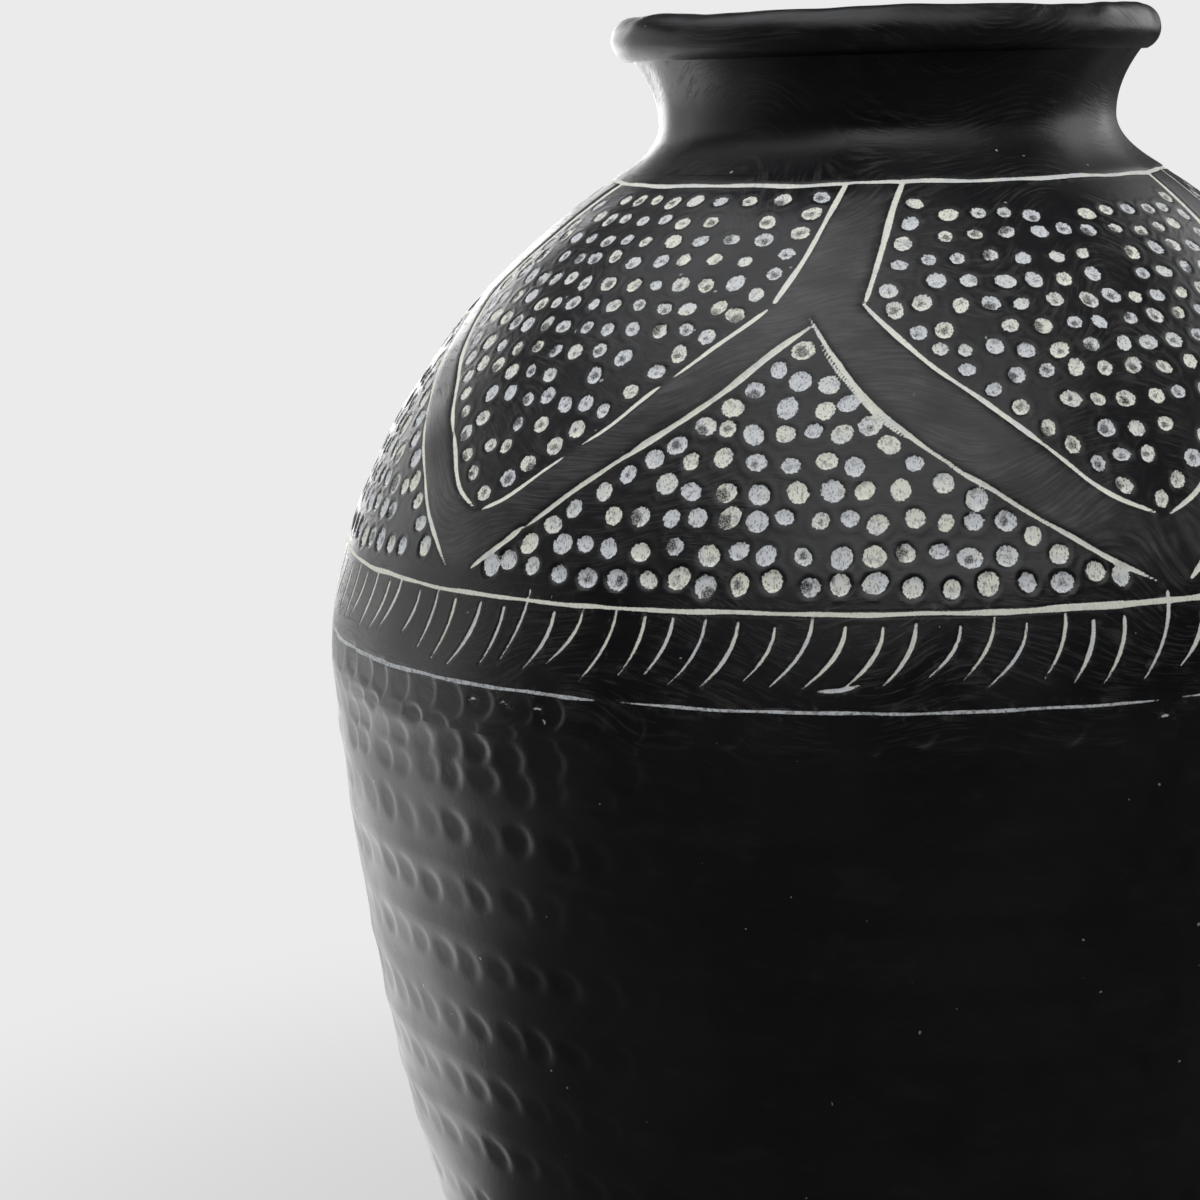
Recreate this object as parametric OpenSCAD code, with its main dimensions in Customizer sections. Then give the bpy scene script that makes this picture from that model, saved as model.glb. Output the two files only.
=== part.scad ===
// Hand-built black clay jar. A pressed base slab carries rings of clay, each one
// luted to the ring below along a bevelled joint, and a neck collar and a rolled
// rim close the top. Two thin rings of pale clay fill the lines cut round the belly.
// +Z is up, and the origin is the middle of the circle that the jar stands on.

/* [Body] */
// Diameter at the belly, the widest place
belly_d = 280; // [220:1:340]
// Height of the belly above the table
belly_z = 176; // [140:1:220]
// Diameter of the circle that the jar stands on
base_d = 168; // [130:1:210]
// Height from the belly up to the foot of the neck
shoulder_h = 116; // [90:1:140]
// Thickness of the wall
wall = 7; // [5:0.5:9]
// How full the body is just below the belly, higher is fuller
body_fullness = 2.86; // [2:0.02:4]
// How quickly the body draws in below the belly, higher is later
body_turn = 1.2; // [1.1:0.05:2]
// How full the shoulder is, higher is fuller
shoulder_fullness = 1.61; // [1.4:0.01:2.2]
// How quickly the shoulder turns in above the belly, higher is later
shoulder_turn = 1.81; // [1.5:0.01:2.4]

/* [Base] */
// Thickness of the base slab under the floor
base_t = 10; // [8:0.5:13]
// Height of the base slab's outer edge
slab_edge_h = 8.5; // [7:0.5:11]
// Diameter of the hollow pressed into the underside
hollow_d = 124; // [60:1:128]
// Depth of the hollow in the underside
hollow_depth = 2; // [1:0.5:4]
// Width of the cove between the floor and the wall
cove_w = 12; // [6:1:20]

/* [Neck and rim] */
// Diameter at the foot of the neck
neck_foot_d = 128; // [110:1:150]
// Diameter at the waist of the neck
neck_waist_d = 111; // [80:1:109]
// Height from the neck's foot to its waist
neck_waist_h = 11; // [8:0.5:16]
// Diameter of the neck where the rim sits on it
neck_lip_d = 124; // [111:1:150]
// Height from the neck's waist to the rim's joint
neck_flare_h = 16; // [12:0.5:26]
// Diameter of the coil that is rolled into the rim
rim_coil_d = 11; // [10:0.5:14]
// How far the middle of the rim coil stands above its joint
rim_rise = 2.6; // [1:0.2:3]

/* [Joints] */
// Height that each joint rises from the outside of the wall to the inside
joint_bevel = 4; // [2:0.5:6]
// Height from the joint under the belly ring to the belly
belly_drop = 2.5; // [1:0.5:8]
// Height from the belly to the joint under the band
band_foot_h = 11.5; // [10:0.5:12]
// Height from the belly to the joint over the band
band_top_h = 31; // [30.5:0.5:36]

/* [Cut lines] */
// Height from the belly to the lower cut line
lower_line_h = 8.2; // [5:0.1:9]
// Height from the belly to the upper cut line
upper_line_h = 28.3; // [20:0.1:29]
// Width of a cut line
line_w = 1.2; // [0.8:0.1:1.6]
// Depth of a cut line, filled flush with pale clay
line_depth = 0.7; // [0.4:0.1:1]

/* [Hidden] */

$fn = 180;
black_clay = [0.07, 0.07, 0.075];
pale_clay = [0.86, 0.85, 0.76];

facet_h = 3;
wall_rings = 10;
shoulder_steps = [0, 0.28, 0.54, 0.77, 1];
cove_steps = 6;
slope_step = 0.01;

belly_r = belly_d / 2;
base_r = base_d / 2;
neck_foot_r = neck_foot_d / 2;
neck_waist_r = neck_waist_d / 2;
neck_lip_r = neck_lip_d / 2;

belly_foot_z = belly_z - belly_drop;
band_foot_z = belly_z + band_foot_h;
band_top_z = belly_z + band_top_h;
shoulder_top_z = belly_z + shoulder_h;
waist_z = shoulder_top_z + neck_waist_h;
lip_z = waist_z + neck_flare_h;
lower_line_z = belly_z + lower_line_h;
upper_line_z = belly_z + upper_line_h;
ring_h = (belly_foot_z - slab_edge_h) / wall_rings;

// Part of the shoulder's curve that is used before the neck cuts it off
shoulder_share = pow(1 - pow(neck_foot_r / belly_r, shoulder_fullness), 1 / shoulder_turn);
// The neck leaves the shoulder at the shoulder's own slope
shoulder_end_slope = belly_r * (1 / shoulder_fullness)
    * pow(neck_foot_r / belly_r, 1 - shoulder_fullness)
    * shoulder_turn * pow(shoulder_share, shoulder_turn) / shoulder_h;
neck_foot_turn = max(1.5, shoulder_end_slope * neck_waist_h / (neck_foot_r - neck_waist_r));

// Outside radius of the jar at height z, in four stretches from the table to the lip
function body_r(z) = base_r + (belly_r - base_r)
    * pow(1 - pow((belly_z - z) / belly_z, body_turn), 1 / body_fullness);
function shoulder_r(z) = belly_r
    * pow(1 - pow(shoulder_share * (z - belly_z) / shoulder_h, shoulder_turn), 1 / shoulder_fullness);
function neck_foot_curve_r(z) = neck_waist_r + (neck_foot_r - neck_waist_r)
    * pow((waist_z - z) / neck_waist_h, neck_foot_turn);
function flare_r(z) = neck_waist_r + (neck_lip_r - neck_waist_r) * pow((z - waist_z) / neck_flare_h, 2);
function outside_r(z) =
    z <= 0 ? base_r :
    z < belly_z ? body_r(z) :
    z < shoulder_top_z ? shoulder_r(z) :
    z < waist_z ? neck_foot_curve_r(z) : flare_r(z);

// A point on the outside, the outward direction there, and points in under the skin
function slope(z) = (outside_r(z + slope_step) - outside_r(z - slope_step)) / (2 * slope_step);
function outward(z) = [1, -slope(z)] / norm([1, slope(z)]);
function outer_pt(z) = [outside_r(z), z];
function under_pt(z, depth) = outer_pt(z) - depth * outward(z);
function inner_pt(z) = under_pt(z, wall);

function steps(z1, z2) = ceil(abs(z2 - z1) / facet_h);
function outer_run(z1, z2) = [for (i = [0 : steps(z1, z2)]) outer_pt(z1 + (z2 - z1) * i / steps(z1, z2))];
function inner_run(z1, z2) = [for (i = [0 : steps(z1, z2)]) inner_pt(z1 + (z2 - z1) * i / steps(z1, z2))];

// The four corners of a cut line, from its lower edge round the bottom to its upper edge
function line_corners(z) = [
    outer_pt(z - line_w / 2),
    under_pt(z - line_w / 4, line_depth),
    under_pt(z + line_w / 4, line_depth),
    outer_pt(z + line_w / 2)
];

// Section of one ring: up the outside, over its joint, down the inside.
// cut_z is the height of a cut line on it, if it has one.
function ring_outline(z1, z2, cut_z = undef, top_bevel = joint_bevel) = concat(
    is_undef(cut_z) ? outer_run(z1, z2) : concat(
        outer_run(z1, cut_z - line_w / 2),
        line_corners(cut_z),
        outer_run(cut_z + line_w / 2, z2)
    ),
    inner_run(z2 + top_bevel, z1 + joint_bevel)
);

// Section of the base slab, a shallow dish whose cove runs up to the first joint
cove_top = inner_pt(slab_edge_h + joint_bevel);
function cove_pt(t) = [cove_top[0] - cove_w * t, base_t + (cove_top[1] - base_t) * pow(1 - t, 2)];
slab_outline = concat(
    [[0, hollow_depth], [hollow_d / 2 - 3 * hollow_depth, hollow_depth], [hollow_d / 2, 0]],
    outer_run(0, slab_edge_h),
    [for (i = [0 : cove_steps]) cove_pt(i / cove_steps)],
    [[0, base_t]]
);

module clay_ring(outline) {
    color(black_clay)
        rotate_extrude()
            polygon(outline);
}

module base_slab() {
    clay_ring(slab_outline);
}

module wall_ring(n) {
    clay_ring(ring_outline(slab_edge_h + (n - 1) * ring_h, slab_edge_h + n * ring_h));
}

module belly_ring() {
    clay_ring(ring_outline(belly_foot_z, band_foot_z, lower_line_z));
}

module band_ring() {
    clay_ring(ring_outline(band_foot_z, band_top_z, upper_line_z));
}

module shoulder_ring(n) {
    rise = shoulder_top_z - band_top_z;
    clay_ring(ring_outline(band_top_z + rise * shoulder_steps[n - 1], band_top_z + rise * shoulder_steps[n]));
}

module neck_collar() {
    clay_ring(ring_outline(shoulder_top_z, lip_z, top_bevel = 0));
}

// The rim is a round coil pressed on to the neck's top, which flattens it there
module rim_coil() {
    seat = (outer_pt(lip_z) + inner_pt(lip_z)) / 2;
    lean = -atan(slope(lip_z));
    color(black_clay)
        rotate_extrude()
            translate(seat)
                rotate(lean)
                    intersection() {
                        translate([0, rim_rise])
                            circle(d = rim_coil_d);
                        translate([-rim_coil_d, 0])
                            square(2 * rim_coil_d);
                    }
}

module line_fill(z) {
    color(pale_clay)
        rotate_extrude()
            polygon(line_corners(z));
}

base_slab();
wall_ring(1);  // wall_ring_1
wall_ring(2);  // wall_ring_2
wall_ring(3);  // wall_ring_3
wall_ring(4);  // wall_ring_4
wall_ring(5);  // wall_ring_5
wall_ring(6);  // wall_ring_6
wall_ring(7);  // wall_ring_7
wall_ring(8);  // wall_ring_8
wall_ring(9);  // wall_ring_9
wall_ring(10);  // wall_ring_10
belly_ring();
band_ring();
shoulder_ring(1);  // shoulder_ring_1
shoulder_ring(2);  // shoulder_ring_2
shoulder_ring(3);  // shoulder_ring_3
shoulder_ring(4);  // shoulder_ring_4
neck_collar();
rim_coil();
line_fill(lower_line_z);  // lower_line_fill
line_fill(upper_line_z);  // upper_line_fill
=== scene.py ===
"""A hand-built black clay jar: rings of burnished clay, cut lines and punched dots filled with pale clay."""
import math

import bmesh
import bpy
import numpy as np
from mathutils import Matrix, Vector


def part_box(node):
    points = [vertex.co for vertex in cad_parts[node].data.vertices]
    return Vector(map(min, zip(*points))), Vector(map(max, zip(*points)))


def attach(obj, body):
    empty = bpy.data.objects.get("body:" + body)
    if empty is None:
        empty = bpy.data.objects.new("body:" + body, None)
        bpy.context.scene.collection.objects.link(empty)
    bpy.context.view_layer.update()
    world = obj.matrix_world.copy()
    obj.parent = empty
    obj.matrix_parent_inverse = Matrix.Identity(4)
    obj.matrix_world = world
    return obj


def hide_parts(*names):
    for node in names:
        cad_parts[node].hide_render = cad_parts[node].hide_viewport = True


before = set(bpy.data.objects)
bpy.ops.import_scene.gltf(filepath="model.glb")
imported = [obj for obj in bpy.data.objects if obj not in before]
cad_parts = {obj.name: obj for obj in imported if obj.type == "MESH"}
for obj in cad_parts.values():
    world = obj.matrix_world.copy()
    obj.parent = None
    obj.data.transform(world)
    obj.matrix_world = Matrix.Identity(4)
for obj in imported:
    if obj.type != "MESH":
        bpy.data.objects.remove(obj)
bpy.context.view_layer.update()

# Lengths are in millimetres and angles in degrees until a mesh is made.
# An angle round the jar is 0 at the front, -Y, and grows towards -X.
MM = 0.001

# The jar's outline, with the same driving sizes as the solid part
BELLY_R, BELLY_Z = 140.0, 176.0
BASE_R, SHOULDER_H, WALL = 84.0, 116.0, 7.0
BODY_FULLNESS, BODY_TURN = 2.86, 1.2
SHOULDER_FULLNESS, SHOULDER_TURN = 1.61, 1.81
NECK_FOOT_R, NECK_WAIST_R, NECK_LIP_R = 64.0, 55.5, 62.0
NECK_WAIST_H, NECK_FLARE_H = 11.0, 16.0
JOINT_BEVEL = 4.0
FLOOR_T, COVE_W = 10.0, 12.0
HOLLOW_R, HOLLOW_DEPTH = 62.0, 2.0
RIM_COIL_R, RIM_RISE = 5.5, 2.6

SHOULDER_TOP_Z = BELLY_Z + SHOULDER_H
WAIST_Z = SHOULDER_TOP_Z + NECK_WAIST_H
LIP_Z = WAIST_Z + NECK_FLARE_H
LOWER_LINE_Z, UPPER_LINE_Z = BELLY_Z + 8.2, BELLY_Z + 28.3

WALL_RINGS = 10
SHOULDER_RINGS = 4


def low_z(node):
    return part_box(node)[0].z / MM


def high_z(node):
    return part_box(node)[1].z / MM


# Heights of the joints on the outside, from the base slab's edge to the rim
JOINTS = [low_z(f"wall_ring_{n}") for n in range(1, WALL_RINGS + 1)]
JOINTS += [low_z(node) for node in ("belly_ring", "band_ring", "shoulder_ring_1", "shoulder_ring_2")]
JOINTS += [high_z(f"shoulder_ring_{n}") for n in (2, 3, 4)]
JOINTS.append(LIP_Z)

rng = np.random.RandomState(41)


# ---------------------------------------------------------------- outline

SHOULDER_SHARE = (1 - (NECK_FOOT_R / BELLY_R) ** SHOULDER_FULLNESS) ** (1 / SHOULDER_TURN)
SHOULDER_END_SLOPE = (BELLY_R / SHOULDER_FULLNESS * (NECK_FOOT_R / BELLY_R) ** (1 - SHOULDER_FULLNESS)
                      * SHOULDER_TURN * SHOULDER_SHARE ** SHOULDER_TURN / SHOULDER_H)
NECK_FOOT_TURN = SHOULDER_END_SLOPE * NECK_WAIST_H / (NECK_FOOT_R - NECK_WAIST_R)


def outside_r(z):
    """Outside radius of the jar at each height."""
    z = np.asarray(z, float)
    down = np.clip((BELLY_Z - z) / BELLY_Z, 0, 1)
    up = np.clip((z - BELLY_Z) / SHOULDER_H * SHOULDER_SHARE, 0, 1)
    neck = np.clip((WAIST_Z - z) / NECK_WAIST_H, 0, None)
    body = BASE_R + (BELLY_R - BASE_R) * (1 - down ** BODY_TURN) ** (1 / BODY_FULLNESS)
    shoulder = BELLY_R * (1 - up ** SHOULDER_TURN) ** (1 / SHOULDER_FULLNESS)
    foot = NECK_WAIST_R + (NECK_FOOT_R - NECK_WAIST_R) * neck ** NECK_FOOT_TURN
    flare = NECK_WAIST_R + (NECK_LIP_R - NECK_WAIST_R) * ((z - WAIST_Z) / NECK_FLARE_H) ** 2
    return np.select([z < BELLY_Z, z < SHOULDER_TOP_Z, z < WAIST_Z], [body, shoulder, foot], flare)


def outward(z):
    """Outward direction of the outside at each height, as (radial, up)."""
    step = 0.01
    slope = (outside_r(np.asarray(z) + step) - outside_r(np.maximum(np.asarray(z) - step, 0))) / (2 * step)
    size = np.hypot(1, slope)
    return 1 / size, -slope / size


def run_along(across, up):
    """Distance from the first point to each, from the steps between them."""
    return np.concatenate([[0], np.cumsum(np.hypot(across, up))])


def resampled(points, pitch):
    """The same curve with points about one pitch apart, its ends kept."""
    points = np.asarray(points, float)
    run = run_along(*np.diff(points, axis=0).T)
    count = max(1, round(run[-1] / pitch))
    at = np.linspace(0, run[-1], count + 1)
    return np.stack([np.interp(at, run, points[:, 0]), np.interp(at, run, points[:, 1])], 1)


def outer_run(z1, z2, pitch):
    z = z1 + (z2 - z1) * np.linspace(0, 1, 3000) ** 2
    return resampled(np.stack([outside_r(z), z], 1), pitch)


def inner_run(z1, z2, pitch):
    z = np.linspace(z1, z2, 600)
    across, up = outward(z)
    return resampled(np.stack([outside_r(z) - WALL * across, z - WALL * up], 1), pitch)


# Distance along the outline from the table, so that marks keep their shape on the slope
TABLE_Z = np.concatenate([np.linspace(0, 1, 400) ** 2 * 20, np.linspace(20.05, LIP_Z, 6000)])
TABLE_S = run_along(np.diff(outside_r(TABLE_Z)), np.diff(TABLE_Z))


def along(z):
    return np.interp(z, TABLE_Z, TABLE_S)


def height_at(s):
    return np.interp(s, TABLE_S, TABLE_Z)


# ---------------------------------------------------------------- marks

SIDES = 5                 # triangles, and panels between them, round the shoulder
SIDE = 360 / SIDES
PANEL_TURN = 45.4         # angle of the middle of the front panel
DOT_PITCH, ROW_PITCH = 6.9, 6.6
EDGE_INSET = 4.3          # from an outline to the chain of dots beside it
DOT_DEPTH, DOT_DEPTH_SPREAD, DOT_RIM = 0.5, 0.35, 0.07
LINE_DEPTH, LINE_BURR = 0.13, 0.03
FIELD_DEPTH = 0.22        # how far the punched fields lie below the ribs
DOT_RAGGED, LINE_RAGGED = 1.0, 0.22
STRETCH = 2.5             # a cut line is made of straight stretches about this long
CUT_TOP_Z = SHOULDER_TOP_Z - 2.5

# Outlines as (angle from the panel's middle, height). The ribs lean a little, as the hand drew them.
PANEL_LEFT = [(0.7, 221.6), (3.4, 224.2), (5.7, 227.6), (8.2, 232.2), (14.6, 243), (21, 252.2), (29.6, 265.2)]
PANEL_RIGHT = [(-0.9, 221.3), (-3.7, 224.2), (-9.3, 233), (-14.5, 240.5), (-18.2, 246.8), (-24.9, 257.2),
               (-30.3, 264.6)]
PANEL_LEFT_UP = [(29.4, 265.8), (27.5, 275.5), (25.2, 285.5), (23.6, CUT_TOP_Z)]
PANEL_RIGHT_UP = [(-31, 266.2), (-33.7, 274.7), (-36.6, 285.5), (-37.8, CUT_TOP_Z)]
TRIANGLE_LEFT = [(-36, 261), (-32.8, 257.2), (-27.4, 247.9), (-20.7, 238.8), (-11.6, 225.7), (-7.4, 218.8),
                 (-1.5, 208.8)]
TRIANGLE_RIGHT = [(2, 208.4), (8.8, 218.8), (15.2, 228.8), (20.8, 237), (26.8, 246.4), (31, 253.4),
                  (36.2, 262.7)]
BOWS = (-1.9, 0.9, -0.6, 0.4, 1.9)     # how far, in degrees, the hand bent each triangle's right edge
TRIANGLE_FOOT_Z = 207.5


def triangle_right(k):
    """The right edge of the triangle on panel k's left, bent as it was drawn."""
    span, bow = len(TRIANGLE_RIGHT) - 1, BOWS[k % SIDES]
    return [(turn + bow * math.sin(math.pi * n / span), z) for n, (turn, z) in enumerate(TRIANGLE_RIGHT)]


class Dots:
    """Punched dots: place, radius, how worn the fill is and where, and how warm its colour is."""

    def __init__(self):
        self.rows = []

    def add(self, turn, s, radius, ringed):
        """ringed is the share of dots whose fill is worn off the middle."""
        kind = rng.rand()
        lean = math.radians(rng.normal(215, 50))
        if kind < ringed:
            worn, off = radius * rng.uniform(0.25, 0.62), radius * rng.uniform(0, 0.25)
        elif kind < ringed + 0.14:
            worn, off = radius * rng.uniform(0.6, 0.9), radius * rng.uniform(0.45, 0.8)
        else:
            worn, off = -2.0, 0.0
        self.rows.append((turn, s, radius, rng.uniform(0.88, 1.14), rng.uniform(0, 180),
                          worn, off * math.cos(lean), off * math.sin(lean), rng.rand(), rng.rand()))

    def near(self, turn, s, reach):
        r = outside_r(height_at(s))
        for row in self.rows:
            across = math.radians((row[0] - turn + 180) % 360 - 180) * r
            if across * across + (row[1] - s) ** 2 < reach * reach:
                return True
        return False


class Lines:
    """Cut lines: short straight stretches, each with its width at both ends and its colour."""

    def __init__(self):
        self.parts = []

    def add(self, points, width, taper=(1.0, 1.0), warm=0.8, wander=0.25, fade=-2.0, quick=7):
        """points are (angle, height). taper scales the width at the two ends, and quick is how soon
        the line fills out from them. fade wears the fill: -2 leaves it whole."""
        turn = np.array([p[0] for p in points], float)
        s = along([p[1] for p in points])
        r = outside_r(height_at(s.mean()))
        run = run_along(np.radians(np.diff(turn)) * r, np.diff(s))
        count = max(2, round(run[-1] / STRETCH))
        at = np.linspace(0, run[-1], count + 1)
        smooth = curve_through(run, np.stack([turn, s], 1), at)
        phase = rng.uniform(0, 6.28, 3)
        sway = wander * (np.sin(at / 7 + phase[0]) + 0.6 * np.sin(at / 3.1 + phase[1]))
        smooth[:, 1] += sway
        share = at / run[-1]
        ends = np.minimum(1, np.minimum(taper[0] + share * quick, taper[1] + (1 - share) * quick))
        slim = 1 + 0.16 * np.sin(at / 5.3 + phase[2]) + 0.1 * np.sin(at / 1.9 + phase[0])
        widths = width * ends * slim
        for a, b, w1, w2 in zip(smooth[:-1], smooth[1:], widths[:-1], widths[1:]):
            self.parts.append((a[0], a[1], b[0], b[1], w1, w2, warm, fade))


def curve_through(run, values, at):
    """A smooth curve through values given at run, read at other places."""
    if len(run) < 3:
        return np.stack([np.interp(at, run, v) for v in values.T], 1)
    slopes = np.gradient(values, run, axis=0)
    k = np.clip(np.searchsorted(run, at) - 1, 0, len(run) - 2)
    h = (run[k + 1] - run[k])[:, None]
    t = (at - run[k])[:, None] / h
    return ((2 * t ** 3 - 3 * t ** 2 + 1) * values[k] + (t ** 3 - 2 * t ** 2 + t) * h * slopes[k]
            + (3 * t ** 2 - 2 * t ** 3) * values[k + 1] + (t ** 3 - t ** 2) * h * slopes[k + 1])


def cut_through(points, start, end):
    """The stretch of a line between two shares of its length."""
    points = np.array(points, float)
    run = run_along(np.diff(points[:, 0]) * 2, np.diff(points[:, 1]))
    at = np.linspace(start * run[-1], end * run[-1], 5)
    return [tuple(p) for p in curve_through(run, points, at)]


def shifted(points, turn, lift=0.0):
    return [(p[0] + turn, p[1] + lift) for p in points]


dots, lines, band_lines = Dots(), Lines(), Lines()


def draw_side(k):
    """One panel and the triangle on its right: their outlines, drawn in the strokes a hand makes."""
    turn = PANEL_TURN + SIDE * k

    def jog():
        return rng.uniform(-0.35, 0.35)

    left, right = shifted(PANEL_LEFT, turn + jog(), jog()), shifted(PANEL_RIGHT, turn + jog(), jog())
    lines.add(cut_through(left, 0, 0.36 + 0.1 * jog()), 1.0, (0.4, 0.3))
    lines.add(cut_through(left, 0.33, 1.0), 1.15, (0.3, 0.5))
    first, second = 0.33 + 0.1 * jog(), 0.66 + 0.1 * jog()
    lines.add(cut_through(right, 0.0, first), 0.95, (0.35, 0.1))
    lines.add(cut_through(right, first + 0.05, second), 0.95, (0.1, 0.1))
    lines.add(cut_through(right, second + 0.035, 1.0), 1.1, (0.2, 0.5))
    lines.add(shifted(PANEL_LEFT_UP, turn + jog(), jog()), 1.25, (0.5, 0.9))
    lines.add(shifted(PANEL_RIGHT_UP, turn + jog(), jog()), 1.3, (0.8, 0.9))
    left, right = shifted(TRIANGLE_LEFT, turn + jog(), jog()), shifted(triangle_right(k), turn + jog(), jog())
    lines.add(cut_through(left, 0.0, 0.55), 1.35, (0.4, 0.15))
    lines.add(cut_through(left, 0.50, 0.83), 0.95, (0.1, 0.1))
    lines.add(cut_through(left, 0.83, 1.0), 1.2, (0.2, 0.6))
    lines.add(cut_through(right, 0.0, 0.52), 1.0, (0.3, 0.2))
    lines.add(cut_through(right, 0.48, 1.0), 1.1, (0.2, 0.2))
    lines.add(shifted(cut_through(right, 0.62, 0.93), 0.45, -0.5), 0.65, (0.1, 0.1))


def edge_turn(points, z):
    """Angle of an outline at a height."""
    points = sorted(points, key=lambda p: p[1])
    return np.interp(z, [p[1] for p in points], [p[0] for p in points])


def punch_edge(outline, turn, inset, radius, ringed):
    """A chain of dots that follows an outline, one inset in from it."""
    z_low, z_high = outline[0][1], outline[-1][1]
    s = along(min(z_low, z_high)) + 3.5
    top = along(max(z_low, z_high)) - 2.5
    while s < top:
        z = height_at(s)
        r = outside_r(z)
        strays = edge_turn(outline, height_at(s + 2)) - edge_turn(outline, height_at(s - 2))
        lean = math.radians(strays) * r / 4
        across = inset * math.hypot(1, lean)
        at = edge_turn(outline, z) + math.degrees(across / r) + turn
        if not dots.near(at, s, 5.2):
            where = at + rng.normal(0, 0.15), s + rng.normal(0, 0.3)
            dots.add(*where, radius * rng.uniform(0.86, 1.12), ringed)
        s += DOT_PITCH / math.hypot(1, lean) * rng.uniform(0.92, 1.12)


def punch_rows(left_edge, right_edge, turn, z_low, z_high, radius, ringed):
    """Rows of dots between two outlines, from the bottom up, by eye."""
    s = along(z_low)
    while s < along(z_high):
        z = height_at(s)
        r = outside_r(z)
        room = math.degrees(EDGE_INSET / r)
        start, end = edge_turn(right_edge, z) + room, edge_turn(left_edge, z) - room
        at = start + math.degrees(rng.uniform(0, 2) / r)
        bow = rng.uniform(-0.6, 0.6)
        while at < end:
            lift = bow * math.sin((at - start) / max(end - start, 1) * math.pi)
            near_s = s + lift + rng.normal(0, 0.5)
            if rng.rand() > 0.03 and not dots.near(at + turn, near_s, 4.9 if rng.rand() < 0.85 else 4.0):
                dots.add(at + turn, near_s, radius * rng.uniform(0.8, 1.12), ringed)
            at += math.degrees(DOT_PITCH / r) * rng.uniform(0.84, 1.2)
        s += ROW_PITCH * rng.uniform(0.94, 1.06)


def punch_side(k):
    turn = PANEL_TURN + SIDE * k
    left, right = TRIANGLE_LEFT[::-1], shifted(triangle_right(k - 1), -SIDE)
    punch_edge(left, turn, -EDGE_INSET, 2.2, 0.15)
    punch_edge(right, turn, EDGE_INSET, 2.15, 0.15)
    punch_rows(left, right, turn, 210, 258, 2.25, 0.2)
    left, right = PANEL_LEFT + PANEL_LEFT_UP[1:], PANEL_RIGHT + PANEL_RIGHT_UP[1:]
    punch_edge(right, turn, EDGE_INSET, 1.95, 0.75)
    punch_edge(left, turn, -EDGE_INSET, 1.9, 0.6)
    punch_rows(left, right, turn, 228, CUT_TOP_Z - 3, 1.95, 0.58)


def line_sway(turn, z):
    """How far a band line strays from its level, the same all through the jar's making."""
    sway = 0.55 * np.sin(np.radians(turn) * 2 + z) + 0.3 * np.sin(np.radians(turn) * 5 + 2 * z)
    return sway * (1.0 if z > BELLY_Z + 18 else 0.6)


def draw_band_line(z, width, warm, worn, gaps):
    """A line cut round the belly in many strokes, each overlapping the last or leaving a small gap."""
    at = -180.0
    while at < 180:
        end = min(at + rng.uniform(28, 50), 184)
        side = rng.uniform(-0.3, 0.3)
        turns = np.linspace(at, end, 12)
        rise = np.linspace(-side, side, 12)
        points = [(t, float(z + line_sway(t, z) + up)) for t, up in zip(turns, rise)]
        band_lines.add(points, width * rng.uniform(0.7, 1.25), (0.3, 0.2), warm, wander=0.1, fade=worn)
        at = end + (rng.uniform(-8, -3) if rng.rand() > gaps else rng.uniform(0.5, 4.5))


STROKES, FIRST_STROKE = 114, 0.6
SCUFFS = (41, 37, 33, -24, -71, -75, 118, 163)     # where the rubbing caught the edge of a dimple


def draw_strokes():
    """The band of curved strokes between the two lines round the belly."""
    for n in range(STROKES):
        turn = FIRST_STROKE + n * 360 / STROKES + rng.normal(0, 0.28)
        top = UPPER_LINE_Z - rng.uniform(0.8, 2.8)
        if n % 19 == 11:
            top = UPPER_LINE_Z + 1.7
        foot = UPPER_LINE_Z - rng.normal(14.4, 1.1)
        sweep = rng.normal(3.0, 0.5)
        share = np.linspace(0, 1, 6)
        points = [(turn + sweep * t ** 1.9, top + (foot - top) * t) for t in share]
        width, warm = rng.uniform(0.65, 0.9), rng.uniform(0.45, 0.9)
        lines.add(points, width, (0.8, 0.25), warm, wander=0.05, quick=1.4)
    lines.add([(2.6, 190.4), (4.4, 189), (6.4, 188.4)], 0.7, (0.3, 0.3), warm=0.4)
    for turn in SCUFFS:
        z = LOWER_LINE_Z - rng.uniform(2.6, 3.4)
        arc = [(turn + 0.7, z - 0.5), (turn + 0.1, z), (turn - 0.6, z - 0.6)]
        lines.add(arc, 0.6, (0.2, 0.2), warm=0.1, fade=-0.2)


for side in range(SIDES):
    draw_side(side)
for side in range(SIDES):
    punch_side(side)
draw_strokes()
draw_band_line(UPPER_LINE_Z, 1.15, 0.95, -2.0, 0.1)
draw_band_line(LOWER_LINE_Z, 0.85, 0.15, -0.15, 0.6)
lines.add([(a, CUT_TOP_Z + 0.3) for a in range(-180, 190, 10)], 1.1, warm=0.6)

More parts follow.
